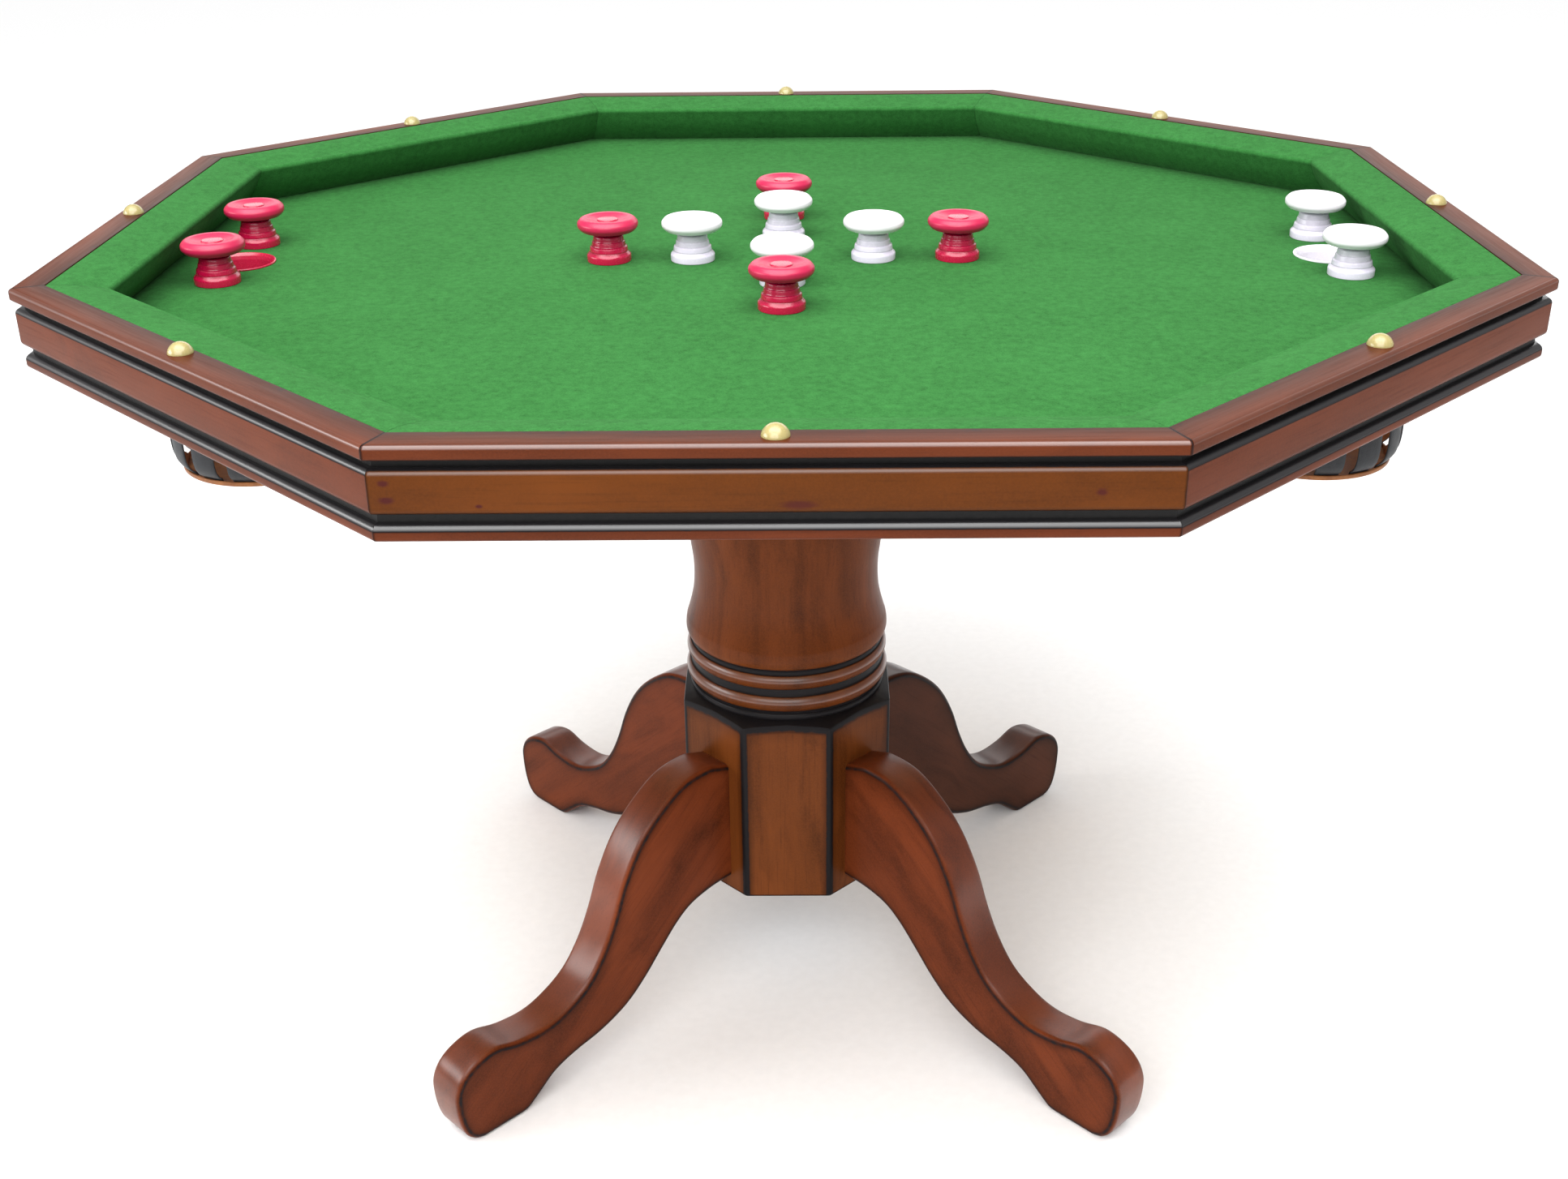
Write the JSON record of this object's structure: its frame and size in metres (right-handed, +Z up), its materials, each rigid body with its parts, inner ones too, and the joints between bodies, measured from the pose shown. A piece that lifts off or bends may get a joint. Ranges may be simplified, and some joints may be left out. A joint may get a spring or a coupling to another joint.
{
  "type": "bumper pool table",
  "caption": "Octagonal table for bumper pool: green cloth bed with rubber cushions, ring bumpers, two cup pockets with strap baskets, on a turned column with curved legs.",
  "frame": {"origin": "on the floor under the middle of the table", "axes": "+Z up, -Y towards the front side of the octagon, +X to the right, through the white pocket"},
  "size_m": [1.2, 1.2, 0.803],
  "materials": {
    "rail_wood": "satin",
    "pedestal_wood": "satin",
    "black_groove": "satin black",
    "raw_wood": "unfinished",
    "green_cloth": "felted wool",
    "cushion_cloth": "rubber under green cloth",
    "ivory": "gloss",
    "red_plastic": "gloss",
    "white_plastic": "gloss",
    "red_rubber": "semi-gloss",
    "white_rubber": "semi-gloss",
    "black_leather": "smooth",
    "tan_leather": "smooth",
    "steel": "zinc plated"
  },
  "bodies": {
    "root": {"rail_cap_front": "rail_wood", "cushion_front": "cushion_cloth", "apron_board_front": "rail_wood", "rail_cap_front_right": "rail_wood", "cushion_front_right": "cushion_cloth", "apron_board_front_right": "rail_wood", "rail_cap_right": "rail_wood", "cushion_right": "cushion_cloth", "apron_board_right": "rail_wood", "rail_cap_back_right": "rail_wood", "cushion_back_right": "cushion_cloth", "apron_board_back_right": "rail_wood", "rail_cap_back": "rail_wood", "cushion_back": "cushion_cloth", "apron_board_back": "rail_wood", "rail_cap_back_left": "rail_wood", "cushion_back_left": "cushion_cloth", "apron_board_back_left": "rail_wood", "rail_cap_left": "rail_wood", "cushion_left": "cushion_cloth", "apron_board_left": "rail_wood", "rail_cap_front_left": "rail_wood", "cushion_front_left": "cushion_cloth", "apron_board_front_left": "rail_wood", "rail_cores": "raw_wood", "upper_reveal": "black_groove", "lower_reveal": "black_groove", "lower_bead": "rail_wood", "sight_dots": "ivory", "rail_bolts": "steel", "bed_board": "raw_wood", "bed_cloth": "green_cloth", "bumper_posts_red": "red_plastic", "bumper_posts_white": "white_plastic", "bumper_rings_red": "red_rubber", "bumper_rings_white": "white_rubber", "bumper_studs": "steel", "bumper_nuts": "steel", "cup_left": "red_plastic", "cup_right": "white_plastic", "basket_collar_left": "black_groove", "basket_collar_right": "black_groove", "basket_straps_left": "black_leather", "basket_straps_right": "black_leather", "basket_dish_left": "tan_leather", "basket_dish_right": "tan_leather", "collar_screws": "steel", "batten_lower": "raw_wood", "batten_upper": "raw_wood", "batten_screws": "steel", "top_plate": "raw_wood", "plate_screws": "steel", "column": "pedestal_wood", "hub": "pedestal_wood", "leg_bolts": "steel", "leg_nuts": "steel", "leg_front_right": "pedestal_wood", "leg_back_right": "pedestal_wood", "leg_back_left": "pedestal_wood", "leg_front_left": "pedestal_wood"}
  },
  "joints": []
}
